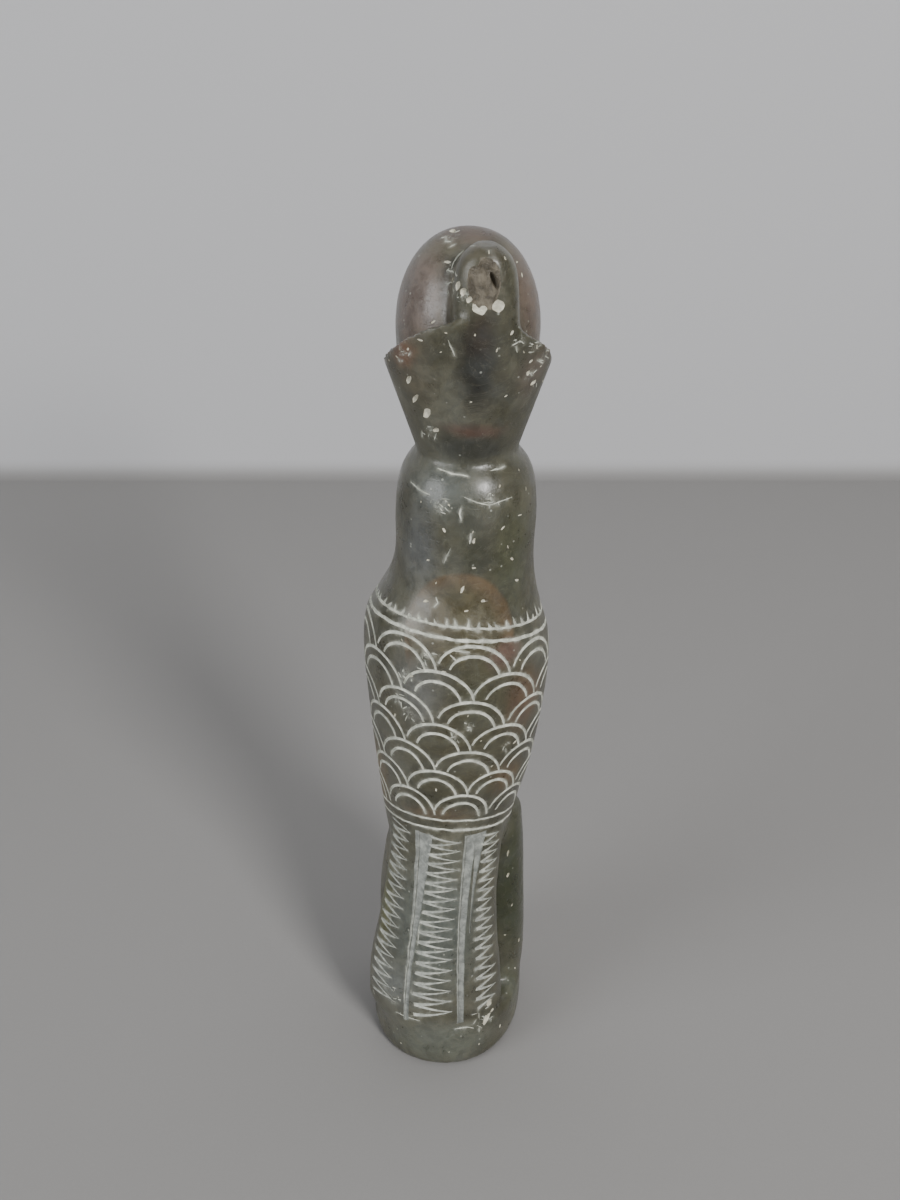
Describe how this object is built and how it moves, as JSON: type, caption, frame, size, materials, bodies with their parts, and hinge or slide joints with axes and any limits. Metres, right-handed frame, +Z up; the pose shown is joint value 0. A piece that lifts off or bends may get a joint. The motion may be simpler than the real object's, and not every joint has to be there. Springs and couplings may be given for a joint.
{
  "type": "carved soapstone horus falcon statue",
  "caption": "Upright soapstone falcon with a double crown, scratched feather scales and a long tail, carved in one piece with its oval plinth.",
  "frame": {"origin": "middle of the plinth's flat underside", "axes": "+Z up along the figure, -Y the way the falcon faces, +Y its tail, +X its own left"},
  "size_m": [0.0616, 0.07, 0.3],
  "materials": {
    "soapstone": "dark grey-green soapstone with reddish brown clouds, hand polished to a waxy satin, with pale chalky scratched lines"
  },
  "bodies": {
    "root": {"horus_statue": "soapstone"}
  },
  "joints": []
}
